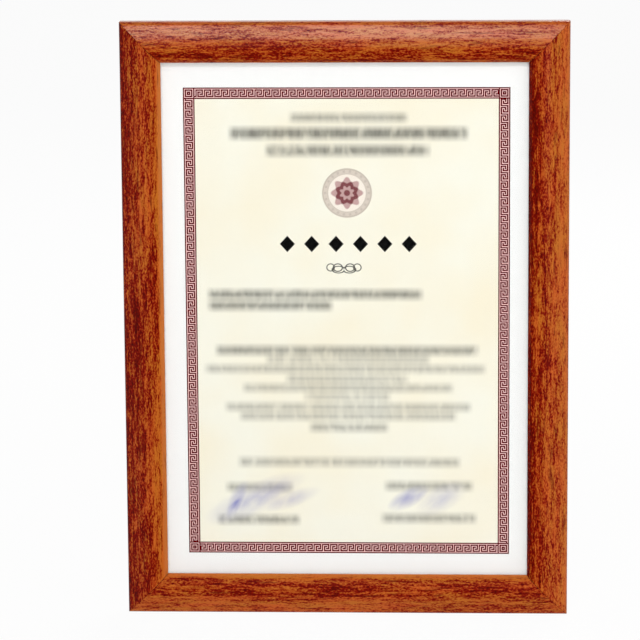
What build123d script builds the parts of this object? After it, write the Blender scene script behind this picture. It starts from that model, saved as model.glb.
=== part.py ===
from build123d import *
import os
from math import sqrt

# Certificate frame: four mitred rails of wood moulding round a glazed sheet, closed by a back
# board under turn buttons and hung from a sawtooth hanger. All sizes are in millimetres.
# The front faces -Y, +Z is up and the wall is the plane Y = 0. The origin is the point on the
# wall where the nail stands, level with the centre notch of the hanger. Left and right are as
# seen from the front.

os.makedirs("parts", exist_ok=True)

# The sheet and the layers in the rabbet
sheet_width = 210.0
sheet_height = 297.0
glass_thickness = 2.0
sheet_thickness = 0.3
filler_thickness = 1.5
board_thickness = 3.0
rabbet_play = 1.0
glass_arris = 0.3

# Section of the moulding, from the sight edge outwards and from the back forwards
rail_width = 22.5
rabbet_lip = 5.0
sight_land = 0.8
wall_run = 1.6
wall_rise = 2.8
wall_round = 0.5
crest_inset = 9.4
crest_rise = 6.0
slope_inset = 13.5
slope_rise = 5.2
shoulder_height = 8.4
shoulder_round = 3.0
back_round = 0.8

# V-nails in the mitres
nail_spacing = 8.0
nail_leg = 6.0
nail_height = 7.0
nail_thickness = 0.5
drive_play = 0.03

# Turn buttons and their screws
button_thickness = 1.0
button_round = 4.5
tip_round = 3.5
board_overlap = 9.0
pivot_inset = 8.0
side_button_inset = 70.0
end_button_inset = 36.0
button_edge = 0.2
button_play = 0.05
pivot_play = 0.08
screw_radius = 1.5
screw_reach = 8.0
screw_tip = 2.5
head_radius = 3.0
head_edge = 0.7
head_height = 1.6
recess_length = 3.2
recess_width = 0.7
recess_depth = 0.9

# Sawtooth hanger and its pins
hanger_length = 45.0
hanger_height = 10.0
hanger_thickness = 0.8
hanger_tab = 8.0
hanger_ramp = 3.0
hanger_bend = 1.0
hanger_corner = 2.0
hook_gap = 1.6
notch_count = 9
notch_width = 2.0
notch_depth = 1.6
pin_radius = 0.75
pin_reach = 8.0
pin_tip = 1.5
pin_head_radius = 1.7
pin_head_height = 0.5
pin_hole_play = 0.1

# Wall bumpers
bumper_thickness = 3.5
bumper_radius = 5.0
bumper_round = 1.0

# Worked out from the sizes above
rabbet_depth = glass_thickness + sheet_thickness + filler_thickness + board_thickness
sight_width = sheet_width + 2 * (rabbet_play - rabbet_lip)
sight_height = sheet_height + 2 * (rabbet_play - rabbet_lip)
rail_back_y = -bumper_thickness
back_middle = (rabbet_lip + rail_width) / 2
notch_inset = back_middle - hanger_height / 2 + notch_depth
frame_centre = Vector(0, rail_back_y, -notch_inset - sight_height / 2)
nail_insets = (back_middle - nail_spacing / 2, back_middle + nail_spacing / 2)
button_arm = pivot_inset + rabbet_play + board_overlap
head_base = button_play + button_thickness + button_play
head_brim = head_base + head_edge
head_top = head_base + head_height
crown_rise = head_height - head_edge
crown_radius = (head_radius**2 + crown_rise**2) / (2 * crown_rise)

forward = Vector(0, -1, 0)
rearward = Vector(0, 1, 0)
sides = {
    "top": Vector(0, 0, 1),
    "right": Vector(1, 0, 0),
    "bottom": Vector(0, 0, -1),
    "left": Vector(-1, 0, 0),
}
corners = {
    "top_left": ("top", "left"),
    "top_right": ("top", "right"),
    "bottom_left": ("bottom", "left"),
    "bottom_right": ("bottom", "right"),
}


def save(builder, name):
    """Label a finished piece and write it to its own file."""
    builder.part.label = name
    export_step(builder.part, f"parts/{name}.step")


def half_sight(direction):
    """Half of the sight opening along a row axis."""
    return abs(direction.X) * sight_width / 2 + abs(direction.Z) * sight_height / 2


def side_plane(side):
    """Plane at the middle of a sight edge: x outwards, y forwards, z along the rail."""
    outward = sides[side]
    origin = frame_centre + outward * half_sight(outward)
    return Plane(origin=origin, x_dir=outward, z_dir=outward.cross(forward))


def corner_plane(corner):
    """Plane on the rails' back at a sight corner: x outwards along the mitre, z into the wood."""
    across, along = (sides[side] for side in corners[corner])
    origin = frame_centre + across * half_sight(across) + along * half_sight(along)
    return Plane(origin=origin, x_dir=across + along, z_dir=forward)


def button_pivots(side):
    """The two pivot points on the back of a rail, by the words that name their buttons."""
    plane = side_plane(side)
    run = half_sight(plane.z_dir)
    if side in ("top", "bottom"):
        step = Vector(1, 0, 0) * (run - end_button_inset)
        ends = {"left": -step, "right": step}
    else:
        step = Vector(0, 0, 1) * (run - side_button_inset)
        ends = {"upper": step, "lower": -step}
    middle = plane.from_local_coords(Vector(rabbet_lip + pivot_inset, 0, 0))
    return {f"{side}_{word}": middle + offset for word, offset in ends.items()}


def pin_points():
    """The two fixing points of the hanger, on the rail's back at the middle of its tabs."""
    spread = hanger_length / 2 - hanger_tab / 2
    height = hanger_height / 2 - notch_depth
    return [Vector(x, rail_back_y, height) for x in (-spread, spread)]


def drill_planes(points):
    """Planes at points on the rails' back that face the wall, for holes drilled forwards."""
    return [Plane(origin=point, x_dir=(1, 0, 0), z_dir=rearward) for point in points]


def corner_nails(corner, play):
    """V-nails of one corner: bent strips across the mitre, grown by play to give their kerfs."""
    reach = (nail_leg + play) / sqrt(2)
    with BuildPart() as nails:
        for inset in nail_insets:
            apex = inset * sqrt(2)
            with BuildSketch(corner_plane(corner)):
                with BuildLine():
                    Polyline((apex - reach, reach), (apex, 0), (apex - reach, -reach))
                trace(line_width=nail_thickness + 2 * play)
            extrude(amount=nail_height + play)
    return nails


def stack_layer(depth, thickness):
    """A layer of the sheet's size in the rabbet, starting at a depth in front of the rails' back."""
    plane = Plane(origin=frame_centre + forward * depth, x_dir=(1, 0, 0), z_dir=forward)
    with BuildPart() as layer:
        with BuildSketch(plane):
            Rectangle(sheet_width, sheet_height)
        extrude(amount=thickness)
    return layer


def fastener_plane(point):
    """Half-section plane of a fastener: x across it, y along it towards the wall."""
    return Plane(origin=point, x_dir=(1, 0, 0), z_dir=(0, 0, 1))


# Section of the moulding: inner wall, rabbet, back, outer side, outer slope and cushion arc
wall_top = (wall_run, rabbet_depth + sight_land + wall_rise)
crest = (crest_inset, rabbet_depth + crest_rise)
slope_top = (slope_inset, rabbet_depth + slope_rise)
shoulder = (rail_width, shoulder_height)
back_corner = (rail_width, 0)
rounded = {wall_top: wall_round, shoulder: shoulder_round, back_corner: back_round}
with BuildSketch() as moulding:
    with BuildLine():
        Polyline(
            wall_top,
            (0, rabbet_depth + sight_land),
            (0, rabbet_depth),
            (rabbet_lip, rabbet_depth),
            (rabbet_lip, 0),
            back_corner,
            shoulder,
            slope_top,
        )
        ThreePointArc(slope_top, crest, wall_top)
    make_face()
    for point, radius in rounded.items():
        fillet(moulding.vertices().sort_by_distance(point)[0], radius=radius)

# Rails: the section run past both corners, mitred, slotted for V-nails and drilled
for side in sides:
    plane = side_plane(side)
    run = half_sight(plane.z_dir)
    with BuildPart() as rail:
        with BuildSketch(plane):
            add(moulding.sketch)
        extrude(amount=run + rail_width, both=True)
        for end in (plane.z_dir, -plane.z_dir):
            mitre = Plane(origin=plane.origin + end * run, z_dir=end - plane.x_dir)
            split(bisect_by=mitre, keep=Keep.BOTTOM)
        for corner, meeting in corners.items():
            if side in meeting:
                add(corner_nails(corner, drive_play).part, mode=Mode.SUBTRACT)
        with Locations(*drill_planes(button_pivots(side).values())):
            Hole(radius=screw_radius + drive_play, depth=screw_reach + drive_play)
        if side == "top":
            with Locations(*drill_planes(pin_points())):
                Hole(radius=pin_radius + drive_play, depth=pin_reach + drive_play)
    save(rail, f"rail_{side}")

# V-nails, a pair in each corner
for corner in corners:
    save(corner_nails(corner, 0), f"corner_nails_{corner}")

# Layers in the rabbet, from the back board forwards
save(stack_layer(0, board_thickness), "back_board")
save(stack_layer(board_thickness, filler_thickness), "filler_card")
save(stack_layer(board_thickness + filler_thickness, sheet_thickness), "certificate_sheet")

with BuildPart() as glass:
    add(stack_layer(rabbet_depth - glass_thickness, glass_thickness).part)
    chamfer(glass.edges(), length=glass_arris)
save(glass, "glass_pane")

# Turn buttons: flat tapered strips that turn on their screws, arms over the board at rest
for side, outward in sides.items():
    for name, pivot in button_pivots(side).items():
        plane = Plane(origin=pivot + rearward * button_play, x_dir=-outward, z_dir=rearward)
        with BuildPart() as button:
            with BuildSketch(plane):
                Circle(button_round)
                with Locations((button_arm - tip_round, 0)):
                    Circle(tip_round)
                make_hull()
            extrude(amount=button_thickness)
            fillet(button.faces().sort_by(Axis.Y)[-1].edges(), radius=button_edge)
            with Locations(*drill_planes([pivot])):
                Hole(radius=screw_radius + pivot_play)
        save(button, f"turn_button_{name}")

# Pan-head screws with a cross recess, a pair in each rail
for side in sides:
    with BuildPart() as screws:
        for pivot in button_pivots(side).values():
            with BuildSketch(fastener_plane(pivot)):
                with BuildLine():
                    Polyline(
                        (0, head_top),
                        (0, -screw_reach),
                        (screw_radius, screw_tip - screw_reach),
                        (screw_radius, head_base),
                        (head_radius, head_base),
                        (head_radius, head_brim),
                    )
                    RadiusArc((head_radius, head_brim), (0, head_top), -crown_radius)
                make_face()
            revolve(axis=Axis(pivot, rearward))
            crown = pivot + rearward * head_top
            with BuildSketch(Plane(origin=crown, x_dir=(1, 0, 0), z_dir=forward)):
                Rectangle(recess_length, recess_width)
                Rectangle(recess_width, recess_length)
            extrude(amount=recess_depth, mode=Mode.SUBTRACT)
    save(screws, f"button_screws_{side}")

# Sawtooth hanger: a strip with flat tabs and a raised middle, notched along its lower edge
raised_half = hanger_length / 2 - hanger_tab - hanger_ramp
tab_line = hanger_thickness / 2
raised_line = hook_gap + hanger_thickness / 2
with BuildPart() as hanger:
    with BuildSketch(Plane(origin=(0, rail_back_y, -notch_depth), z_dir=(0, 0, 1))):
        with BuildLine():
            FilletPolyline(
                (-hanger_length / 2, tab_line),
                (-raised_half - hanger_ramp, tab_line),
                (-raised_half, raised_line),
                (raised_half, raised_line),
                (raised_half + hanger_ramp, tab_line),
                (hanger_length / 2, tab_line),
                radius=hanger_bend,
            )
        trace(line_width=hanger_thickness)
    extrude(amount=hanger_height)
    upright_ends = hanger.edges().filter_by(Axis.Y).group_by(Axis.X)
    fillet(upright_ends[0] + upright_ends[-1], radius=hanger_corner)
    with BuildSketch(Plane(origin=(0, rail_back_y, 0), x_dir=(1, 0, 0), z_dir=rearward)):
        with GridLocations(2 * raised_half / notch_count, 0, notch_count, 1):
            with BuildLine():
                Polyline(
                    (-notch_width / 2, notch_depth),
                    (0, 0),
                    (notch_width / 2, notch_depth),
                    close=True,
                )
            make_face()
    extrude(amount=hook_gap + 2 * hanger_thickness, mode=Mode.SUBTRACT)
    with Locations(*drill_planes(pin_points())):
        Hole(radius=pin_radius + pin_hole_play)
save(hanger, "sawtooth_hanger")

# Pins that fix the hanger, heads on its tabs
with BuildPart() as pins:
    for point in pin_points():
        with BuildSketch(fastener_plane(point)):
            with BuildLine():
                Polyline(
                    (0, hanger_thickness + pin_head_height),
                    (0, -pin_reach),
                    (pin_radius, pin_tip - pin_reach),
                    (pin_radius, hanger_thickness),
                    (pin_head_radius, hanger_thickness),
                    (pin_head_radius, hanger_thickness + pin_head_height),
                    close=True,
                )
            make_face()
        revolve(axis=Axis(point, rearward))
save(pins, "hanger_nails")

# Wall bumpers on the lower corners
for side in ("left", "right"):
    corner = corner_plane(f"bottom_{side}")
    seat = corner.origin + (sides["bottom"] + sides[side]) * back_middle
    with BuildPart() as bumper:
        with BuildSketch(*drill_planes([seat])):
            Circle(bumper_radius)
        extrude(amount=bumper_thickness)
        fillet(bumper.edges().group_by(Axis.Y)[-1], radius=bumper_round)
    save(bumper, f"wall_bumper_{side}")
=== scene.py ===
# %% [markdown]
# # Dressing a certificate frame
#
# The real object is an upright frame for an A4 certificate: four mitred lengths of a reddish
# lacquered wood moulding, a pane of glass, a printed sheet, a filler card and a back board under
# turn buttons. The CAD model has every piece at its real size. This lesson gives each piece its
# finish, and rebuilds those whose looks need a finer mesh. All lengths in Blender are metres, the
# front faces -Y and +Z is up.

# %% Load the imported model
import math

import bpy
import numpy as np
from mathutils import Matrix, Vector


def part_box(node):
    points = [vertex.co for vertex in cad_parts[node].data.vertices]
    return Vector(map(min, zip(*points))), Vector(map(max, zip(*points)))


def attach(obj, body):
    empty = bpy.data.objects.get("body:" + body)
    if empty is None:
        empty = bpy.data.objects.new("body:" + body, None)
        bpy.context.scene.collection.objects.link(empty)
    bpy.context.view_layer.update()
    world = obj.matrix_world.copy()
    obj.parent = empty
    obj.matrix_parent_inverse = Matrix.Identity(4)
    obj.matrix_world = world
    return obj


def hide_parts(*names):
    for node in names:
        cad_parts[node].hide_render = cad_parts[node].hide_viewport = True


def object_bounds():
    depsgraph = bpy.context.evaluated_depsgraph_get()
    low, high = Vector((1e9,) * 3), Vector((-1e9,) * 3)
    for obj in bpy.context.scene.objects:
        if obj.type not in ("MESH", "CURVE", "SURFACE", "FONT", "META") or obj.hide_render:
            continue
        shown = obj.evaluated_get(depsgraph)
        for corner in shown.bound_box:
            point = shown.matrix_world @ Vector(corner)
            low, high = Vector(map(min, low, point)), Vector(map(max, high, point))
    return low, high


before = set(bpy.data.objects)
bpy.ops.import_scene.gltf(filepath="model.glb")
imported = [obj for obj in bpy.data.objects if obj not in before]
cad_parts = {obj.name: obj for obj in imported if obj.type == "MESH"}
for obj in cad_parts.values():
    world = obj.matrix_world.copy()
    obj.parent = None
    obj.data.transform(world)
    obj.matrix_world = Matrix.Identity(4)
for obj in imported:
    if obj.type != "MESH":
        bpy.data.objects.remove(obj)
cad_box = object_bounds()

# %% [markdown]
# ## Sizes
#
# A dressed piece has to sit exactly where its CAD piece is. The few lengths that everything else
# hangs on are therefore measured on the loaded pieces, and not typed in again: the sight opening,
# which is the part of the sheet that shows, and the plane of the rails' back.

# %% Measure the sight opening and the back
MM = 0.001
sight_half_width = -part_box("rail_left")[1].x
sight_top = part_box("rail_top")[0].z
sight_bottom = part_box("rail_bottom")[1].z
sight_half_height = (sight_top - sight_bottom) / 2
centre_z = (sight_top + sight_bottom) / 2
rails_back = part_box("rail_top")[1].y
glass_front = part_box("glass_pane")[0].y
sight_size = [round(2 * half / MM, 1) for half in (sight_half_width, sight_half_height)]
print("sight opening, mm:", sight_size)

# %% [markdown]
# ## Camera
#
# The photograph was taken with a long lens from a little above and to the right. A long lens keeps
# the frame's sides almost parallel. The place and the turn of the camera come from matching the
# corners of the sight opening and of the frame. The focal length is given in pixels of a square
# picture, and Blender wants it in millimetres on a 36 mm sensor, so it is scaled by their ratio.

# %% Place the camera
PICTURE_PIXELS = 640
FOCAL_PIXELS = 3500
SENSOR_MM = 36.0
CAMERA_OFFSET_MM = (73.354, -1906.569, 364.929)
CAMERA_YAW, CAMERA_PITCH, CAMERA_ROLL = 0.045939, -0.188447, 0.0070115

camera_data = bpy.data.cameras.new("camera")
camera_data.sensor_width = SENSOR_MM
camera_data.lens = FOCAL_PIXELS / PICTURE_PIXELS * SENSOR_MM
camera = bpy.data.objects.new("camera", camera_data)
sight_centre = np.array((0.0, glass_front, centre_z))
looking_ahead = Matrix.Rotation(math.pi / 2, 4, "X")
tilt = Matrix.Rotation(CAMERA_PITCH, 4, "X") @ Matrix.Rotation(CAMERA_ROLL, 4, "Y")
camera.matrix_world = (
    Matrix.Translation(sight_centre + np.array(CAMERA_OFFSET_MM) * MM)
    @ Matrix.Rotation(CAMERA_YAW, 4, "Z")
    @ tilt
    @ looking_ahead
)
bpy.context.scene.collection.objects.link(camera)
bpy.context.scene.camera = camera
bpy.context.scene.view_settings.view_transform = "Standard"
print("lens, mm:", round(camera_data.lens, 2))

# %% [markdown]
# ## Sums with sockets
#
# A finish is a chain of shader nodes. Wiring them by hand hides the formula, so one small class
# wraps a socket and lets Python do the sums: every operator adds a Math node and wraps its result.
# A second class holds the node tree of a material or of the world, and its one method `node` adds
# any other node. Colours never go through Math nodes, which would turn them grey; they are mixed.


# %% A socket that can do sums
def plug(place, value):
    """Link a wire to an input socket, or set a plain value on it."""
    if isinstance(value, Wire):
        place.id_data.links.new(value.socket, place)
    else:
        place.default_value = value


class Wire:
    """A value on its way through a node tree. Each operator adds one Math node."""

    def __init__(self, socket):
        self.socket = socket

    def maths(self, operation, *values, clamp=False):
        """The result of a Math node on the values, each a number or a wire."""
        node = self.socket.id_data.nodes.new("ShaderNodeMath")
        node.operation = operation
        node.use_clamp = clamp
        for place, value in zip(node.inputs, values):
            plug(place, value)
        return Wire(node.outputs[0])

    def __add__(self, other):
        return self.maths("ADD", self, other)

    def __radd__(self, other):
        return self.maths("ADD", other, self)

    def __sub__(self, other):
        return self.maths("SUBTRACT", self, other)

    def __rsub__(self, other):
        return self.maths("SUBTRACT", other, self)

    def __mul__(self, other):
        return self.maths("MULTIPLY", self, other)

    def __truediv__(self, other):
        return self.maths("DIVIDE", self, other)

    def __lt__(self, other):
        return self.maths("LESS_THAN", self, other)

    def __gt__(self, other):
        return self.maths("GREATER_THAN", self, other)

    def __abs__(self):
        return self.maths("ABSOLUTE", self)

    def taken(self, operation):
        """A Math node with one input, such as a square root, a sine or the part after the point."""
        return self.maths(operation, self)

    def smaller(self, other):
        """The smaller of two values."""
        return self.maths("MINIMUM", self, other)

    def larger(self, other):
        """The larger of two values."""
        return self.maths("MAXIMUM", self, other)

    def near(self, middle, reach):
        """1 where the value is within reach of the middle, otherwise 0."""
        return self.maths("COMPARE", self, middle, reach)

    def line(self, slope, start):
        """The value times slope plus start, held between 0 and 1."""
        return self.maths("MULTIPLY_ADD", self, slope, start, clamp=True)

    def rise(self, low, high):
        """A ramp from 0 at low to 1 at high; it falls where high is below low."""
        return self.line(1 / (high - low), -low / (high - low))

    def span(self, low, high, blur):
        """1 between low and high, with ends that fade over blur."""
        half = (high - low) / 2
        return abs(self - (low + high) / 2).line(-1 / blur, half / blur + 0.5)


# %% A node tree in the making
class Finish:
    """The node tree of a material or of the world."""

    def __init__(self, owner):
        owner.use_nodes = True
        self.owner = owner
        self.tree = owner.node_tree
        self.tree.nodes.clear()

    def node(self, kind, settings=None, sockets=None, out=0):
        """Add a node of a type, first its settings, then the values or wires of its sockets."""
        node = self.tree.nodes.new(f"ShaderNode{kind}")
        for name, value in (settings or {}).items():
            setattr(node, name, value)
        for place, value in (sockets or {}).items():
            plug(node.inputs[place], value)
        return Wire(node.outputs[out])

    def blend(self, share, first, second):
        """Mix two colours: first where share is 0, second where it is 1."""
        return self.node("Mix", {"data_type": "RGBA"}, {0: share, 6: first, 7: second}, out=2)

    def noise(self, place, detail=2.0, roughness=0.5):
        """Noise between about 0 and 1 with features of about one unit of place."""
        sockets = {"Vector": place, "Scale": 1.0, "Detail": detail, "Roughness": roughness}
        return self.node("TexNoise", {}, sockets)

    def stretched(self, place, scale, shift=(0.0, 0.0, 0.0)):
        """Coordinates multiplied by a scale along each axis and then moved by a shift."""
        return self.node("Mapping", {}, {"Vector": place, "Scale": scale, "Location": shift})

    def place_in_mm(self, shift=(0.0, 0.0, 0.0)):
        """The place on the object in millimetres, moved by a shift."""
        return self.stretched(self.node("TexCoord", out="Object"), (1 / MM,) * 3, shift)

    def parts(self, place):
        """The three numbers of a vector, as wires."""
        split = self.node("SeparateXYZ", {}, {0: place}).socket.node
        return [Wire(socket) for socket in split.outputs]

    def bump(self, height, depth, strength):
        """A normal tilted by a height that goes from 0 to 1 over a depth in metres."""
        return self.node("Bump", {}, {"Height": height, "Distance": depth, "Strength": strength})

    def close(self, shader, kind="Material"):
        """Connect the finished shader to the output."""
        output = self.tree.nodes.new(f"ShaderNodeOutput{kind}")
        plug(output.inputs["Surface"], shader)
        print(self.owner.name, "has", len(self.tree.nodes), "nodes")
        return self.owner


def any_of(masks):
    """The largest of several masks: 1 where one of them is 1."""
    first, *others = masks
    for mask in others:
        first = first.larger(mask)
    return first


def paint(red, green, blue):
    """The linear colour of a shade that is given as it shows on screen, from 0 to 255."""
    shade = np.array((red, green, blue)) / 255
    linear = np.where(shade <= 0.04045, shade / 12.92, ((shade + 0.055) / 1.055) ** 2.4)
    return (*linear.tolist(), 1.0)


# %% [markdown]
# ## Stage and light
#
# The frame stands on a plain white floor, which fills the whole picture behind it because the
# camera looks down a little. To the camera and to reflections the floor is mostly a white glow, so
# that the background is white without more light on the frame; the rest is ordinary white paint,
# which keeps a faint shadow. A wide soft lamp in front lights the sheet, and a weak one at the upper
# right gives the shadows a side. Two lamps higher up, a narrow strip and a taller panel below it,
# stand where the top rail mirrors them to the camera, so they draw its sheen. They stand far off,
# so that the foot of the sheet gets nearly as much light as its head. The last lamp is for the back.

# %% Floor and surroundings
FLOOR_HALF = 8.0
FLOOR_GLOW = 0.95
FLOOR_WHITE = paint(240, 240, 238)
PURE_WHITE = (1.0, 1.0, 1.0, 1.0)
AMBIENT = 0.2


def background_rays(finish):
    """1 for rays from the camera, a reflection or a pane of glass, 0 for light that spreads."""
    rays = finish.node("LightPath").socket.node.outputs
    names = ("Is Camera Ray", "Is Glossy Ray", "Is Transmission Ray")
    camera_ray, glossy_ray, glass_ray = (Wire(rays[name]) for name in names)
    return camera_ray.larger(glossy_ray).larger(glass_ray)


floor_z = cad_box[0].z
floor_signs = [(-1, -1), (1, -1), (1, 1), (-1, 1)]
floor_corners = [(FLOOR_HALF * x, FLOOR_HALF * y, floor_z) for x, y in floor_signs]
floor_mesh = bpy.data.meshes.new("floor")
floor_mesh.from_pydata(floor_corners, [], [range(4)])
floor = bpy.data.objects.new("floor", floor_mesh)
bpy.context.scene.collection.objects.link(floor)

floor_paint = Finish(bpy.data.materials.new("floor_paint"))
matt = floor_paint.node("BsdfDiffuse", {}, {"Color": FLOOR_WHITE})
glow = floor_paint.node("Emission", {}, {"Strength": 1.0})
glow_share = background_rays(floor_paint) * FLOOR_GLOW
mixed = floor_paint.node("MixShader", {}, {0: glow_share, 1: matt, 2: glow})
floor_mesh.materials.append(floor_paint.close(mixed))

bpy.context.scene.world = bpy.data.worlds.new("studio")
studio = Finish(bpy.context.scene.world)
strength = background_rays(studio) * (1 - AMBIENT) + AMBIENT
sky = studio.node("Background", {}, {"Color": PURE_WHITE, "Strength": strength})
studio.close(sky, "World")


# %% Lamps
# Direction and distance from the middle of the sight opening, width and height in metres, watts
LAMPS = {
    "key_lamp": ((0.62, -0.53, 0.55), 2.2, (1.2, 1.2), 4.0),
    "front_strip": ((-0.037, -0.764, 0.613), 4.9, (1.84, 0.4), 58.0),
    "front_panel": ((-0.043, -0.882, 0.438), 4.93, (1.84, 1.2), 36.0),
    "front_fill": ((0.14, -0.97, 0.12), 2.4, (1.4, 0.8), 15.8),
    "back_lamp": ((0.35, 0.75, 0.55), 1.7, (1.0, 0.8), 16.0),
}


def add_lamp(name, direction, distance, size, power):
    """A rectangular lamp at a distance from the middle of the sight opening, turned towards it."""
    lamp_data = bpy.data.lights.new(name, "AREA")
    lamp_data.shape = "RECTANGLE"
    lamp_data.size, lamp_data.size_y = size
    lamp_data.energy = power
    lamp = bpy.data.objects.new(name, lamp_data)
    away = Vector(direction).normalized()
    facing = (-away).to_track_quat("-Z", "Y").to_matrix().to_4x4()
    lamp.matrix_world = Matrix.Translation(Vector(sight_centre) + distance * away) @ facing
    lamp.visible_camera = False
    bpy.context.scene.collection.objects.link(lamp)


for lamp_name, lamp_values in LAMPS.items():
    add_lamp(lamp_name, *lamp_values)
print("lamps:", ", ".join(LAMPS))

# %% [markdown]
# ## Moulding
#
# On the real frame a long stick of moulding is cut into four rails with mitred ends. Its section
# has a steep inner wall at the sight edge, a cushion, a straight outer slope, a rounded shoulder
# and a flat back with a rabbet. The section is drawn as one closed loop of points, and a rail is
# that loop carried along a straight line. A CAD mesh of the same shape has few facets on the
# curves; this one is smooth, and it carries coordinates that run along the grain.

# %% Section of the moulding
RAIL_WIDTH = 22.5
RABBET_LIP = 5.0
LEDGE = 6.8
WALL_FOOT = (0.0, 7.6)
WALL_TOP = (1.6, 10.4)
CREST = (9.4, 12.8)
SLOPE_TOP = (13.5, 12.0)
SHOULDER = (RAIL_WIDTH, 8.4)
BACK_CORNER = (RAIL_WIDTH, 0.0)
WALL_ROUND, SHOULDER_ROUND, BACK_ROUND = 0.5, 3.0, 0.8
CUSHION_POINTS, WALL_POINTS, SHOULDER_POINTS, BACK_POINTS = 48, 9, 15, 7


def arc_through(start, middle, end, count):
    """Points on the circle through three points: centre plus radius turned by an even angle."""
    a, b, c = (complex(*point) for point in (start, middle, end))
    ratio = (c - a) / (b - a)
    centre = a + (b - a) * (ratio - abs(ratio) ** 2) / (2j * ratio.imag)
    turn = np.angle((c - centre) / (a - centre))
    points = centre + (a - centre) * np.exp(1j * turn * np.linspace(0, 1, count))
    return np.stack((points.real, points.imag), axis=1)


def rounded_corner(before, corner, after, radius, count):
    """Points of the arc of a radius that touches both lines which meet at a corner."""
    corner = np.array(corner)
    first = np.array(before) - corner
    second = np.array(after) - corner
    first, second = first / np.linalg.norm(first), second / np.linalg.norm(second)
    half_angle = math.acos(first @ second) / 2
    inwards = (first + second) / np.linalg.norm(first + second)
    middle = corner + inwards * (radius / math.sin(half_angle) - radius)
    reach = radius / math.tan(half_angle)
    return arc_through(corner + reach * first, middle, corner + reach * second, count)


def moulding_section():
    """The closed outline: columns are the inset from the sight edge and the height off the back."""
    cushion = arc_through(WALL_TOP, CREST, SLOPE_TOP, CUSHION_POINTS)
    beyond_round = cushion[cushion[:, 0] > WALL_TOP[0] + 2 * WALL_ROUND]
    return np.concatenate((
        [WALL_FOOT],
        rounded_corner(WALL_FOOT, WALL_TOP, beyond_round[0], WALL_ROUND, WALL_POINTS),
        beyond_round,
        rounded_corner(SLOPE_TOP, SHOULDER, BACK_CORNER, SHOULDER_ROUND, SHOULDER_POINTS),
        rounded_corner(SHOULDER, BACK_CORNER, (RABBET_LIP, 0.0), BACK_ROUND, BACK_POINTS),
        [(RABBET_LIP, 0.0), (RABBET_LIP, LEDGE), (0.0, LEDGE)],
    ))


section = moulding_section()
print("section:", len(section), "points, crest at", round(section[:, 1].max(), 2), "mm")


# %% [markdown]
# ## From a grid of points to a mesh
#
# Each rebuilt piece is a grid: rows along the piece, columns round it. The columns close into a
# loop, and the first and last rows are closed with one face each, so that the piece is watertight.
# The sign of the volume tells whether the faces look outwards; if not, they are turned round.

# %% Mesh of a closed sweep
SHARP_ANGLE = math.radians(28)


def signed_volume(points, quads):
    """Six times the volume: the sum over triangles of corner dot (corner cross corner)."""
    triangles = np.concatenate((quads[:, [0, 1, 2]], quads[:, [0, 2, 3]]))
    a, b, c = (points[triangles[:, corner]] for corner in range(3))
    return float(np.einsum("ij,ij->i", a, np.cross(b, c)).sum())


def sweep_mesh(name, rows, along, across):
    """A mesh from rows of points, each a closed loop, with a map of along and across in metres."""
    row_count, loop_count = rows.shape[:2]
    points = rows.reshape(-1, 3)
    row, column = np.meshgrid(np.arange(row_count - 1), np.arange(loop_count), indexing="ij")
    corner_rows = np.stack((row, row, row + 1, row + 1), axis=-1).reshape(-1, 4)
    corner_columns = np.stack((column, column + 1, column + 1, column), axis=-1).reshape(-1, 4)
    quads = corner_rows * loop_count + corner_columns % loop_count
    first_end = np.arange(loop_count)[::-1]
    last_end = np.arange(loop_count) + (row_count - 1) * loop_count
    wrapped = np.concatenate((along, along[:, :1]), axis=1)
    grain = np.stack((wrapped[corner_rows, corner_columns], across[corner_columns]), axis=-1)
    ends = np.concatenate((first_end, last_end))
    end_grain = np.stack((along.reshape(-1)[ends], across[ends % loop_count]), axis=-1)
    if signed_volume(points - points.mean(axis=0), quads) < 0:
        quads = quads[:, ::-1]
        grain = grain[:, ::-1]
        first_end, last_end = first_end[::-1], last_end[::-1]
        end_grain = np.concatenate((end_grain[:loop_count][::-1], end_grain[loop_count:][::-1]))
    mesh = bpy.data.meshes.new(name)
    mesh.from_pydata(points.tolist(), [], [*quads.tolist(), first_end.tolist(), last_end.tolist()])
    grain_map = mesh.uv_layers.new(name="grain")
    flat = np.concatenate((grain.reshape(-1, 2), end_grain)).astype(np.float32)
    grain_map.uv.foreach_set("vector", flat.ravel())
    mesh.shade_smooth()
    mesh.set_sharp_from_angle(angle=SHARP_ANGLE)
    return mesh


def show_piece(name, mesh, finish, stands_for, body="frame"):
    """Add a mesh to the scene as a piece that rides on a body and stands for a CAD piece."""
    mesh.materials.append(finish)
    piece = bpy.data.objects.new(name, mesh)
    bpy.context.scene.collection.objects.link(piece)
    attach(piece, body)
    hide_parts(stands_for)
    print(name, "has", len(mesh.polygons), "faces")


# %% [markdown]
# ## Wood
#
# The rails are a mahogany-like wood, golden brown with deep red heartwood, under a satin lacquer.
# Marks of several sizes make it believable: patches almost a hand long, ribbons along the rail, a
# mottle of about a centimetre, pores of a few millimetres and a fine stipple. Each is noise drawn
# out along the grain map. Their sum, with the rail's heartwood and painted shade, is the depth of
# the stain, which goes from golden through red to dark. Where the rail's number is below 0, a paler
# brown is painted on as light. Two more noises turn parts of the gold yellower and draw dark
# streaks.

# %% Grain, stain and painted shade
GOLDEN_BROWN = paint(195, 92, 32)
YELLOW_BROWN = paint(190, 106, 32)
RED_BROWN = paint(138, 16, 2)
# The paler brown is painted light, for faces that turn to the lamps.
PAINTED_LIGHT_BROWN = paint(210, 122, 58)
PORE_DARK = paint(84, 8, 2)
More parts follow.
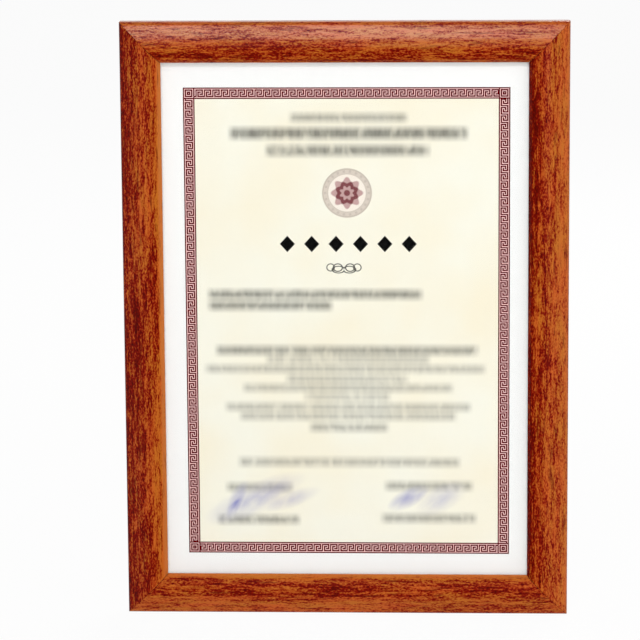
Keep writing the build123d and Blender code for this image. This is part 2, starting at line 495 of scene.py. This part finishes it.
# Length and width of the marks in millimetres, detail of the noise, shift to a place of its own
PATCHES = (90, 10.0, 1.0, 33.1)
RIBBONS = (60, 2.2, 2.0, 1.7)
YELLOWING = (25, 4.0, 1.0, 41.7)
STREAKS = (14, 1.8, 3.0, 27.3)
MOTTLE = (12, 2.2, 2.0, 5.3)
PORES = (5.0, 1.1, 3.0, 9.1)
STIPPLE = (1.5, 0.8, 1.0, 14.9)
FIBRE_ROUGHNESS = 0.6
PLAIN_DEPTH = 0.3
DARK_DEPTH = (0.75, 1.65)


def fibre(wood, along_mm, across_mm, detail, shift):
    """Noise drawn out along the grain map, with marks of a length and a width in millimetres."""
    grain = wood.node("UVMap", {"uv_map": "grain"})
    scale = (1 / (along_mm * MM), 1 / (across_mm * MM), 1.0)
    return wood.noise(wood.stretched(grain, scale, (shift,) * 3), detail, FIBRE_ROUGHNESS)


def stain_and_shade(wood, patches, mottle, pores):
    """The stained colour with painted shade and light, the share of red in it, and where pores are
    open, from the marks' sum.
    """
    # The heart number holds heartwood and painted shade: it is higher on faces turned from the lamps.
    heart_and_shade = wood.node("Attribute", {"attribute_name": "heart_and_shade"}, out="Fac")
    ribbons = fibre(wood, *RIBBONS)
    yellow = fibre(wood, *YELLOWING)
    streaks = fibre(wood, *STREAKS)
    stipple = fibre(wood, *STIPPLE)
    broad = heart_and_shade * 0.6 + (patches - 0.5) * 1.2 + (ribbons - 0.5) * 1.4
    fine = (mottle - 0.5) * 2.2 + (pores - 0.5) * 2.6 + (stipple - 0.5) * 2.4
    depth = broad + fine + PLAIN_DEPTH
    red_share = depth.line(1.0, 0.0)
    streak_share = (streaks + broad * 0.06).rise(0.6, 0.7) * 0.6
    dark_share = depth.rise(*DARK_DEPTH).larger(streak_share)
    golden = wood.blend(yellow.rise(0.35, 0.65), GOLDEN_BROWN, YELLOW_BROWN)
    stained_and_shaded = wood.blend(red_share, golden, RED_BROWN)
    # Painted light: where the heart number is below 0, on the inner walls of the left and bottom
    # rails and the right rail's outer edge, a paler brown is mixed in.
    stained_and_shaded = wood.blend(heart_and_shade.line(-1.0, 0.0), stained_and_shaded, PAINTED_LIGHT_BROWN)
    stained_and_shaded = wood.blend(dark_share, stained_and_shaded, PORE_DARK)
    return stained_and_shaded, red_share, red_share.larger(dark_share)


# %% [markdown]
# The back of a frame is seldom stained, so it shows paler bare wood. A thin dark line marks each
# mitre; it is found from the distance to the mitre plane, where a point is as far beside the sight
# opening as beyond it. The lacquer is a coat on the shader. It is thin near the sight edge and
# fuller from the crest of the moulding outwards, a little uneven, and dull over open pores.

# %% Lacquered wood
BARE_WOOD = paint(200, 160, 112)
BARE_DARK = paint(160, 116, 74)
MITRE_DARK = paint(48, 12, 6)
BARE_GRAIN = (40, 0.9, 3.0, 21.0)
PORE_DEPTH = 0.00012
BACK_EDGE = (0.75, 0.3)
MITRE_LINE = (0.35, 0.1)
CREST_GLOSS = (7.0, 12.0)
SLOPE_GLOSS = (13.5, 17.5)
COAT_IOR = 1.23


def wood_finish():
    """Stained wood on the front and sides, bare wood on the back, a dark line at the mitres."""
    wood = Finish(bpy.data.materials.new("lacquered_wood"))
    patches, mottle, pores = (fibre(wood, *marks) for marks in (PATCHES, MOTTLE, PORES))
    stained_and_shaded, red_share, open_pores = stain_and_shade(wood, patches, mottle, pores)

    x, y, z = wood.parts(wood.place_in_mm((0.0, 0.0, -centre_z / MM)))
    bare = wood.blend(fibre(wood, *BARE_GRAIN).rise(0.35, 0.7), BARE_WOOD, BARE_DARK)
    back_start, back_end = (rails_back / MM - depth for depth in BACK_EDGE)
    on_back = (y + (mottle - 0.5) * 0.5).rise(back_start, back_end)
    colour = wood.blend(on_back, stained_and_shaded, bare)
    beside = abs(x) - sight_half_width / MM
    beyond = abs(z) - sight_half_height / MM
    mitre_share = abs(beside - beyond).rise(*MITRE_LINE) * mottle.rise(0.35, 0.65)
    colour = wood.blend(mitre_share * 0.8, colour, MITRE_DARK)
    inset = beside.larger(beyond)
    lacquer = inset.rise(*CREST_GLOSS) * 0.72 + inset.rise(*SLOPE_GLOSS) * 0.25 + 0.03
    lacquer = lacquer * (patches.rise(0.7, 0.3) * 0.4 + 0.75)

    shader = wood.node("BsdfPrincipled", {}, {
        "Base Color": colour,
        "Roughness": 0.35 + red_share * 0.15 + on_back * 0.3,
        "Specular IOR Level": 0.02,
        "Coat Weight": lacquer * (1 - open_pores * 0.65) * (1 - on_back),
        "Coat Roughness": 0.18,
        "Coat IOR": COAT_IOR,
        "Normal": wood.bump(1 - pores, PORE_DEPTH, 0.5),
    })
    return wood.close(shader)


lacquered_wood = wood_finish()

# %% [markdown]
# ## Rails
#
# A rail's point is the sight edge moved outwards by the section's inset, forwards by its height,
# and along by a share of the half length, which grows with the inset so that the ends are mitred
# at 45 degrees. The last row at each end is drawn in by a fifth of a millimetre, as on a sanded
# edge, so that a fine groove shows where two rails meet. The back is set in by a few hundredths of
# a millimetre, so that pieces which lie on it don't share its plane. Each rail also carries a number
# per point for how much red heartwood it shows there, because every stick was cut from another
# place; the same number also paints shade on faces turned from the lamps, and below 0 it paints
# paler light on faces turned to them.

# %% Build the four rails
OUTWARD = {"top": (0, 0, 1), "right": (1, 0, 0), "bottom": (0, 0, -1), "left": (-1, 0, 0)}
# Pairs of the inset from the sight edge in millimetres and the amount of heartwood and painted
# shade there; below 0 the amount paints a paler brown as light
HEARTWOOD_AND_SHADE = {
    "top": (
        (0, 0.2), (3, 1.1), (5, 1.0), (8, 0.5), (11.5, 0.1), (14, 0.0), (18, 0.12), (21.5, 0.1),
    ),
    "right": (
        (0, 2.2), (2, 1.4), (3.5, 1.0), (6, 0.8), (8, 0.6), (10, 0.4), (13, 0.33), (17, 0.12),
        (21.5, -0.2),
    ),
    "bottom": (
        (1, -0.6), (3, 0.95), (6, 0.8), (8.5, 0.9), (11, 0.65), (13, 0.0), (15.5, 0.25), (18, 0.18),
    ),
    "left": (
        (1, -0.9), (3, 0.25), (8, 0.65), (11.5, 0.72), (13.5, 0.95), (16, 0.8), (20, 0.75),
        (21.5, 1.3),
    ),
}
MITRE_GROOVE = 0.2
BACK_SETBACK = 0.03
ROW_COUNT = 25
GRAIN_STEP = 0.7


def rail_rows(side):
    """Rows of points along one rail, and how far along the rail each point lies, in metres."""
    outward = np.array(OUTWARD[side], float)
    forward = np.array((0.0, -1.0, 0.0))
    lengthwise = np.cross(outward, forward)
    half_edge = sight_half_height if side in ("top", "bottom") else sight_half_width
    half_run = sight_half_width if side in ("top", "bottom") else sight_half_height
    inset, height = section.T * MM
    height = np.maximum(height, BACK_SETBACK * MM)
    before, after = np.roll(section, 1, axis=0), np.roll(section, -1, axis=0)
    tangent = (after - before) / np.linalg.norm(after - before, axis=1)[:, None]
    draw_in = np.stack((tangent[:, 1], -tangent[:, 0]), axis=1) * MITRE_GROOVE * MM
    share = np.concatenate(([-1.0], np.linspace(-1, 1, ROW_COUNT), [1.0]))[:, None]
    at_end = np.zeros_like(share)
    at_end[[0, -1]] = 1.0
    row_inset = inset + at_end * draw_in[:, 0]
    row_height = height + at_end * draw_in[:, 1]
    along = share * (half_run + inset - (1 - at_end) * MITRE_GROOVE * MM)
    origin = np.array((0.0, rails_back, centre_z)) + outward * half_edge
    rows = (
        origin
        + row_inset[..., None] * outward
        + row_height[..., None] * forward
        + along[..., None] * lengthwise
    )
    return rows, along


def round_the_section():
    """How far round the section each point lies, in metres, with the full length at the end."""
    steps = np.linalg.norm(np.roll(section, -1, axis=0) - section, axis=1)
    return np.concatenate(([0.0], np.cumsum(steps))) * MM


for number, (side, knots) in enumerate(HEARTWOOD_AND_SHADE.items()):
    rows, along = rail_rows(side)
    mesh = sweep_mesh(f"wood_rail_{side}", rows, along + number * GRAIN_STEP, round_the_section())
    # Each rail's heart numbers paint heartwood, shade on faces turned from the lamps, and below 0
    # light on faces turned to them.
    heart_and_shade = np.interp(section[:, 0], *np.array(knots).T)
    heart_and_shade_map = mesh.attributes.new("heart_and_shade", "FLOAT", "POINT")
    heart_and_shade_map.data.foreach_set("value", np.tile(heart_and_shade, len(rows)).astype(np.float32))
    show_piece(f"wood_rail_{side}", mesh, lacquered_wood, f"rail_{side}")

# %% [markdown]
# ## Glass
#
# The pane is clear, thin and almost without reflections. A full glass shader would bend the light
# and darken the sheet with noise, so the pane is mostly transparent, with a faint mirror on its
# front face whose share comes from Fresnel. The index is well below that of window glass, as on a
# coated pane, so that black print stays black. A little noise in the roughness stands for wiping
# marks.

# %% Clear glass
GLASS_IOR = 1.12
GLASS_TINT = (0.992, 0.996, 0.994, 1.0)
WIPING_SCALE = (9.0, 9.0, 30.0)


def glass_finish():
    """Transparent, with a weak mirror on the faces that look at the viewer."""
    glass = Finish(bpy.data.materials.new("clear_glass"))
    place = glass.node("TexCoord", out="Object")
    wiping = glass.noise(glass.stretched(place, WIPING_SCALE), 3.0)
    facing = 1 - glass.node("NewGeometry", out="Backfacing")
    mirror_share = glass.node("Fresnel", {}, {"IOR": GLASS_IOR}) * facing
    clear = glass.node("BsdfTransparent", {}, {"Color": GLASS_TINT})
    mirror = glass.node("BsdfAnisotropic", {}, {"Roughness": 0.02 + wiping * 0.05})
    return glass.close(glass.node("MixShader", {}, {0: mirror_share, 1: clear, 2: mirror}))


# %% Give CAD pieces a finish
def nodes_named(*starts):
    """The names of the CAD pieces that start with one of the given words."""
    return [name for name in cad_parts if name.startswith(starts)]


def dress(finish, *nodes):
    """Give CAD pieces a finish in place of the one they were loaded with."""
    for name in nodes:
        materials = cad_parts[name].data.materials
        materials.clear()
        materials.append(finish)
    print(finish.name, "on", ", ".join(nodes))


dress(glass_finish(), "glass_pane")

# %% [markdown]
# ## Print on the sheet
#
# The certificate has a white margin, a maroon key border on pink, and a cream field with soft grey
# lines of type, a round seal, a row of bold marks and a small scroll. All of it is worked out from
# the place on the sheet in millimetres from the middle of the sight opening. The border is a
# meander on a square grid of cells: the side and the distance from the edge give a cell along and
# a cell across, and a handful of bars in one repeat give the ink.

# %% Key border
CELL = 0.5805
BORDER_CENTRE = (0.92, -1.23)
BORDER_CELLS = (310, 454)
BAND_CELLS = 11
REPEAT_CELLS = 8
INK_SPREAD = 0.2
CORNER_RINGS = (0.5, 2.5, 4.5)
# First and last edge of each bar along the border, then across it, in cells of one repeat
KEY_BARS = (
    ((0, 1), (0, 7)), ((0, 7), (0, 1)), ((6, 7), (0, 5)), ((4, 7), (4, 5)),
    ((2, 3), (2, 7)), ((2, 5), (2, 3)), ((2, 8), (6, 7)),
)


def inside(wire, low, high, spread=0.0):
    """1 where a value is between low and high, both moved outwards by a spread."""
    return wire.near((low + high) / 2, (high - low) / 2 + spread)


def key_border(x, z):
    """Masks of the border's ink, of its band and of the field inside it, from millimetres."""
    across, up = (x - BORDER_CENTRE[0]) / CELL, (z - BORDER_CENTRE[1]) / CELL
    half_width, half_height = (cells / 2 for cells in BORDER_CELLS)
    from_side = half_width - abs(across)
    from_end = half_height - abs(up)
    from_edge = from_side.smaller(from_end)
    on_end = from_end < from_side
    right = (across > 0) * 2 - 1
    top = (up > 0) * 2 - 1
    along_end = half_width + across * top - (BAND_CELLS + 1)
    along_side = half_height - up * right - (BAND_CELLS - 2)
    along = along_side + (along_end - along_side) * on_end
    step = (along / REPEAT_CELLS).taken("FRACT") * REPEAT_CELLS
    depth = from_edge - 2
    key = any_of([
        inside(step, *wide, INK_SPREAD) * inside(depth, *deep, INK_SPREAD)
        for wide, deep in KEY_BARS
    ])
    edges = ((0, 1), (BAND_CELLS - 1, BAND_CELLS))
    lines = any_of([inside(from_edge, *edge, INK_SPREAD) for edge in edges])
    in_block = from_side.larger(from_end) < BAND_CELLS
    middle = BAND_CELLS / 2
    from_middle = abs(from_side - middle).larger(abs(from_end - middle))
    rings = any_of([inside(from_middle, low, low + 1, INK_SPREAD) for low in CORNER_RINGS])
    ink = lines.larger(key) * (1 - in_block) + rings * in_block
    band = inside(from_edge, 0, BAND_CELLS)
    return ink, band, from_edge > BAND_CELLS


# %% [markdown]
# The lines of type stand in for words without being any: each is a soft grey bar, and noise along
# it leaves gaps as between words. The bold row holds six lozenges. The scroll is pairs of thin
# interlaced loops, drawn once and mirrored.

# %% Lines of type, lozenges and scroll
# Height of the line's middle, left end, right end and thickness in millimetres, share of ink
TYPE_LINES = (
    (113.8, -30, 34, 4.4, 0.55), (105.1, -63, 67, 6.0, 0.76), (95.6, -43, 46, 5.6, 0.72),
    (15.0, -76, 42, 4.8, 0.68), (8.7, -76, -8, 4.8, 0.68),
    (-16.7, -72, 73, 4.8, 0.62), (-21.9, -44, 46, 4.2, 0.4), (-27.2, -78, 77, 4.2, 0.44),
    (-32.8, -33, 34, 4.2, 0.42), (-38.0, -57, 59, 4.2, 0.44), (-43.2, -23, 24, 4.2, 0.38),
    (-48.9, -67, 69, 4.2, 0.44), (-54.2, -59, 61, 4.2, 0.44), (-60.5, -20, 23, 4.4, 0.52),
    (-80.4, -60, 63, 4.6, 0.46),
    (-95.0, -67, -31, 4.4, 0.52), (-113.6, -72, -27, 4.6, 0.62),
    (-94.0, 22, 70, 4.6, 0.52), (-112.6, 20, 72, 4.6, 0.54),
)
TYPE_BLUR = 4.0
LETTER_SIZE = (2.6, 11.0)
WORD_SIZE = (6.0, 13.0)
WORD_SHIFT = 40
LOZENGES = {"count": 6, "first": -32.2, "pitch": 13.5, "height": 43.4, "half": (4.2, 4.6)}
SCROLL_CENTRE = (-0.9, 29.9)
# Middle beside and above the scroll's centre, half width and half height, in millimetres
SCROLL_LOOPS = ((7.4, 0.3, 2.1, 2.0), (3.4, 0.2, 2.5, 2.1), (3.0, -0.9, 3.4, 1.9))
SCROLL_LINE = (0.19, 0.08)


def type_lines(sheet, x, z):
    """Grey of all lines of type: soft bars broken by noise into pieces as long as words."""
    letter_place = sheet.node("CombineXYZ", {}, {0: x / LETTER_SIZE[0], 1: z / LETTER_SIZE[1]})
    word_place = sheet.node("CombineXYZ", {}, {0: x / WORD_SIZE[0], 1: z / WORD_SIZE[1] + WORD_SHIFT})
    letters = sheet.noise(letter_place, 1.0).rise(0.25, 0.75) * 0.24 + 0.86
    words = sheet.noise(word_place, 1.0).rise(0.28, 0.46) * 0.4 + 0.6
    bars = [
        z.span(height - tall / 2, height + tall / 2, TYPE_BLUR) * x.span(left, right, TYPE_BLUR) * ink
        for height, left, right, tall, ink in TYPE_LINES
    ]
    return sum(bars[1:], bars[0]) * letters * words


def lozenge_row(x, z):
    """A row of lozenges: the shares of the half width and half height add up to less than 1."""
    half_wide, half_tall = LOZENGES["half"]
    place = (x - (LOZENGES["first"] - LOZENGES["pitch"] / 2)) / LOZENGES["pitch"]
    local = (place.taken("FRACT") - 0.5) * LOZENGES["pitch"]
    shape = abs(local) / half_wide + abs(z - LOZENGES["height"]) / half_tall
    return shape.rise(1.06, 0.94) * inside(place, 0, LOZENGES["count"])


def scroll(x, z):
    """Thin loops: points whose distance from an ellipse's middle is close to its radius."""
    side = abs(x - SCROLL_CENTRE[0])
    up = z - SCROLL_CENTRE[1]
    loops = []
    for middle, rise, wide, tall in SCROLL_LOOPS:
        dx, dz = (side - middle) / wide, (up - rise) / tall
        radius = (dx * dx + dz * dz).taken("SQRT")
        loops.append(abs(radius - 1).rise(*SCROLL_LINE))
    return any_of(loops)


# %% [markdown]
# The seal is a beaded grey ring round a rosette, whose radius swells and shrinks eight times round.
# At the foot of the sheet, soft blue strokes slant upwards: each is an ellipse that fades from its
# middle, and noise breaks it up.

# %% Seal and pen strokes
SEAL_GREY = paint(202, 188, 176)
SEAL_BLUSH = paint(248, 226, 220)
SEAL_MAROON = paint(120, 52, 60)
SEAL_PINK = paint(190, 146, 146)
SEAL_CENTRE = (1.0, 71.9)
SEAL_FACE = (13.4, 12.8)
SEAL_BLUR = 0.5
RING_BAND = (10.6, 13.5, 0.6)
OUTER_LINE = (13.0, 13.7, SEAL_BLUR)
INNER_LINE = (10.4, 10.9, SEAL_BLUR)
BEAD_LINE = (11.4, 12.7, SEAL_BLUR)
BEAD_COUNT = 22
PETAL_COUNT = 8
PETAL_EDGE = (8.2, 7.4)
PETAL_RING = (3.6, 6.0, 0.7)
HEART_EDGE = (2.0, 1.4)
# Middle across and up, degrees of slant, half length, half width, share of ink
PEN_STROKES = (
    (-62.0, -103.5, 62, 12.5, 5.0, 0.66),
    (-51.5, -101.5, 25, 29.0, 8.5, 0.4),
    (-32.0, -101.8, 18, 17.0, 5.0, 0.36),
    (34.8, -100.9, 28, 12.5, 5.2, 0.6),
    (53.0, -101.2, 29, 15.0, 7.5, 0.3),
)


def seal(sheet, x, z, field):
    """The field with a grey ring and, inside it, a rosette with a dark middle."""
    dx, dz = x - SEAL_CENTRE[0], z - SEAL_CENTRE[1]
    radius = (dx * dx + dz * dz).taken("SQRT")
    angle = dz.maths("ARCTAN2", dz, dx)
    petals = (angle * PETAL_COUNT).taken("COSINE")
    beads = (angle * BEAD_COUNT).taken("COSINE").rise(0.1, 0.7) * radius.span(*BEAD_LINE)
    rings = any_of([radius.span(*OUTER_LINE), radius.span(*INNER_LINE) * 0.7, beads * 0.8])
    field = sheet.blend(radius.rise(*SEAL_FACE) * 0.4, field, SEAL_BLUSH)
    field = sheet.blend(radius.span(*RING_BAND) * 0.65, field, SEAL_GREY)
    field = sheet.blend(rings, field, SEAL_GREY)
    field = sheet.blend((radius - petals * 1.1).rise(*PETAL_EDGE) * 0.85, field, SEAL_PINK)
    field = sheet.blend((radius + petals * 0.6).span(*PETAL_RING) * 0.9, field, SEAL_MAROON)
    return sheet.blend(radius.rise(*HEART_EDGE) * 0.9, field, SEAL_MAROON)


def pen_strokes(sheet, x, z):
    """Soft ellipses: ink fades out with the root of the squared shares of half length and width."""
    strokes = []
    for middle_x, middle_z, degrees, half_long, half_wide, ink in PEN_STROKES:
        cosine, sine = math.cos(math.radians(degrees)), math.sin(math.radians(degrees))
        along = ((x - middle_x) * cosine + (z - middle_z) * sine) / half_long
        across = ((z - middle_z) * cosine - (x - middle_x) * sine) / half_wide
        strokes.append((along * along + across * across).taken("SQRT").rise(1.1, 0.1) * ink)
    place = sheet.node("CombineXYZ", {}, {0: (x - z) / 9.0, 1: (x + z) / 22.0})
    return any_of(strokes) * (sheet.noise(place, 3.0).rise(0.3, 0.6) * 0.6 + 0.55)


# %% Sheet of paper
MARGIN_WHITE = paint(252, 252, 252)
FIELD_CREAM = paint(252, 249, 235)
FIELD_WARM = paint(252, 243, 220)
BORDER_PINK = paint(255, 210, 208)
BORDER_MAROON = paint(94, 0, 12)
TYPE_GREY = paint(92, 92, 86)
INK_BLACK = paint(4, 4, 4)
PEN_BLUE = paint(96, 100, 190)
PAPER_DEPTH = 0.00002


def sheet_finish():
    """White paper with a printed border, a cream field and the print on it."""
    sheet = Finish(bpy.data.materials.new("printed_paper"))
    in_mm = sheet.place_in_mm((0.0, 0.0, -centre_z / MM))
    x, _, z = sheet.parts(in_mm)
    ink, band, in_field = key_border(x, z)
    clouds = sheet.noise(sheet.stretched(in_mm, (0.02, 0.02, 0.02)), 2.0)
    field = sheet.blend(clouds.rise(0.35, 0.75), FIELD_CREAM, FIELD_WARM)
    field = seal(sheet, x, z, field)
    field = sheet.blend(type_lines(sheet, x, z), field, TYPE_GREY)
    field = sheet.blend(pen_strokes(sheet, x, z), field, PEN_BLUE)
    field = sheet.blend(lozenge_row(x, z), field, INK_BLACK)
    field = sheet.blend(scroll(x, z) * 0.9, field, INK_BLACK)
    colour = sheet.blend(in_field, MARGIN_WHITE, field)
    border = sheet.blend(ink, BORDER_PINK, BORDER_MAROON)
    colour = sheet.blend(band, colour, border)
    fibres = sheet.noise(sheet.stretched(in_mm, (2.2, 2.2, 2.2)), 3.0)
    shader = sheet.node("BsdfPrincipled", {}, {
        "Base Color": colour,
        "Roughness": 0.75 + fibres * 0.15,
        "Specular IOR Level": 0.05,
        "Normal": sheet.bump(fibres, PAPER_DEPTH, 0.3),
    })
    return sheet.close(shader)


# %% [markdown]
# ## Sheet
#
# Paper in a frame is held flat but keeps a slight cockle. The sheet is a thin closed loop carried
# up the page, and two slow waves move it by a few hundredths of a millimetre. It stays clear of the
# glass in front of it, because two faces at the same depth would flicker through each other.

# %% Build the sheet
SHEET_CLEAR = 0.04
SHEET_THICK = 0.2
SHEET_COLUMNS = 41
SHEET_ROWS = 57
COCKLE = 0.02


def sheet_rows(low, high):
    """Rows up the page; each is a loop: the front from left to right, then the back.

    The cockle is sin(70 x + 0.6) times sin(45 z + 1.1) times its height, with x and z in metres.
    """
    across = np.linspace(low.x, high.x, SHEET_COLUMNS)
    up = np.linspace(low.z, high.z, SHEET_ROWS)
    loop_x = np.concatenate((across, across[::-1]))
    behind = np.repeat((0.0, SHEET_THICK * MM), SHEET_COLUMNS)
    x, z = np.meshgrid(loop_x, up)
    wave = np.sin(x * 70 + 0.6) * np.sin(z * 45 + 1.1)
    y = low.y + (SHEET_CLEAR + COCKLE) * MM + behind + wave * COCKLE * MM
    return np.stack((x, y, z), axis=-1), z


sheet_low, sheet_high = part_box("certificate_sheet")
rows, heights = sheet_rows(sheet_low, sheet_high)
loop_length = np.linspace(0, 2 * (sheet_high.x - sheet_low.x), rows.shape[1] + 1)
mesh = sweep_mesh("printed_sheet", rows, heights, loop_length)
show_piece("printed_sheet", mesh, sheet_finish(), "certificate_sheet")

# %% [markdown]
# ## Card and board
#
# The filler is grey recycled card, and the back is hardboard: brown wood fibre pressed against a
# wire screen, which leaves a fine woven print, with paler flakes and darker specks. Both keep their
# CAD meshes, which are plain sheets on the real frame too, and all the looks are in the finish. The
# print of the screen is a sine across times a sine up the board, and its hollows are painted darker
# as shade.

# %% Fibre board finishes
SCREEN_PITCH = 2.4
FLAKE_DEPTH = 0.0001
CARD_SHADES = ((172, 168, 158), (200, 196, 186), (120, 116, 108))
BOARD_SHADES = ((142, 108, 76), (178, 144, 106), (84, 58, 38))


def fibre_finish(name, shades, roughness, screen_and_shade_share):
    """Pressed fibre: body, pale flakes and dark specks, with hollows where the screen pressed,
    painted darker as shade.
    """
    body, pale, dark = (paint(*shade) for shade in shades)
    board = Finish(bpy.data.materials.new(name))
    in_mm = board.place_in_mm()
    x, _, z = board.parts(in_mm)
    turn = 2 * math.pi / SCREEN_PITCH
    screen = (x * turn).taken("SINE") * (z * turn).taken("SINE")
    clouds = board.noise(board.stretched(in_mm, (0.03, 0.03, 0.03)), 3.0)
    flakes = board.noise(board.stretched(in_mm, (0.6, 0.6, 0.3)), 3.0, 0.65)
    specks = board.noise(board.stretched(in_mm, (1.1, 1.1, 1.1), (7.0, 3.0, 5.0)), 1.0)
    colour = board.blend(clouds.rise(0.3, 0.7) * 0.18, body, dark)
    colour = board.blend(flakes.rise(0.52, 0.75) * 0.7, colour, pale)
    colour = board.blend(specks.rise(0.6, 0.7) * 0.7, colour, dark)
    # Painted shade: the hollows of the screen are darkened in the colour.
    colour = board.blend(screen.rise(0.0, 1.0) * screen_and_shade_share, colour, dark)
    shader = board.node("BsdfPrincipled", {}, {
        "Base Color": colour,
        "Roughness": roughness + flakes * 0.15,
        "Specular IOR Level": 0.25,
        "Normal": board.bump(flakes - screen * screen_and_shade_share, FLAKE_DEPTH, 0.4),
    })
    return board.close(shader)


card = fibre_finish("grey_card", CARD_SHADES, roughness=0.8, screen_and_shade_share=0.0)
hardboard = fibre_finish("hardboard", BOARD_SHADES, roughness=0.55, screen_and_shade_share=0.5)
dress(card, "filler_card")
dress(hardboard, "back_board")

# %% [markdown]
# ## Steel, brass and rubber
#
# The turn buttons are stamped from zinc-plated strip, the screws and nails are bright steel, and
# the sawtooth hanger is brass plated. Rolled strip has fine lines along one way, so the noise is
# drawn out, and plating is cloudy, so colour and roughness drift. The bumpers are black rubber.

# %% Metal and rubber finishes
ROLLED_DEPTH = 0.00003
RUBBER_DEPTH = 0.00005
RUBBER_BLACK = paint(32, 32, 33)
RUBBER_BLOOM = paint(62, 61, 60)
ZINC_SHADES = (paint(184, 187, 190), paint(146, 150, 154))
STEEL_SHADES = (paint(150, 147, 140), paint(110, 107, 101))
BRASS_SHADES = (paint(208, 166, 86), paint(168, 124, 56))
NAIL_SHADES = (paint(176, 176, 174), paint(128, 126, 122))
# Scale of the rolled lines along x, y and z, per millimetre
ACROSS_LINES = (0.25, 4.0, 6.0)
UPRIGHT_LINES = (6.0, 4.0, 0.25)
EVEN_LINES = (3.0, 3.0, 3.0)


def plated_finish(name, colour, shadow, roughness, lines):
    """Plated metal: drawn-out lines in the bump and roughness, clouds in the colour."""
    metal = Finish(bpy.data.materials.new(name))
    in_mm = metal.place_in_mm()
    rolled = metal.noise(metal.stretched(in_mm, lines), 2.0)
    clouds = metal.noise(metal.stretched(in_mm, (0.35, 0.35, 0.35)), 3.0)
    dull_share = clouds.rise(0.35, 0.7) * 0.7 + rolled.rise(0.5, 0.75) * 0.3
    shader = metal.node("BsdfPrincipled", {}, {
        "Base Color": metal.blend(dull_share, colour, shadow),
        "Metallic": 1.0,
        "Roughness": roughness + rolled * 0.12 + clouds * 0.1,
        "Normal": metal.bump(rolled, ROLLED_DEPTH, 0.3),
    })
    return metal.close(shader)


def rubber_finish():
    """Black rubber with a fine moulded grain and a grey bloom."""
    rubber = Finish(bpy.data.materials.new("bumper_rubber"))
    in_mm = rubber.place_in_mm()
    grain = rubber.noise(rubber.stretched(in_mm, (3.0, 3.0, 3.0)), 2.0)
    bloom = rubber.noise(rubber.stretched(in_mm, (0.4, 0.4, 0.4)), 2.0)
    shader = rubber.node("BsdfPrincipled", {}, {
        "Base Color": rubber.blend(bloom.rise(0.4, 0.8), RUBBER_BLACK, RUBBER_BLOOM),
        "Roughness": 0.55 + grain * 0.2,
        "Normal": rubber.bump(grain, RUBBER_DEPTH, 0.4),
    })
    return rubber.close(shader)


zinc = plated_finish("button_zinc", *ZINC_SHADES, roughness=0.28, lines=UPRIGHT_LINES)
zinc_across = plated_finish("button_zinc_across", *ZINC_SHADES, roughness=0.28, lines=ACROSS_LINES)
steel = plated_finish("screw_steel", *STEEL_SHADES, roughness=0.22, lines=EVEN_LINES)
brass = plated_finish("hanger_brass", *BRASS_SHADES, roughness=0.24, lines=ACROSS_LINES)
nails = plated_finish("nail_steel", *NAIL_SHADES, roughness=0.35, lines=EVEN_LINES)
dress(zinc, *nodes_named("turn_button_top", "turn_button_bottom"))
dress(zinc_across, *nodes_named("turn_button_left", "turn_button_right"))
dress(steel, *nodes_named("button_screws"))
dress(brass, "sawtooth_hanger")
dress(nails, "hanger_nails", *nodes_named("corner_nails"))
dress(rubber_finish(), "wall_bumper_left", "wall_bumper_right")
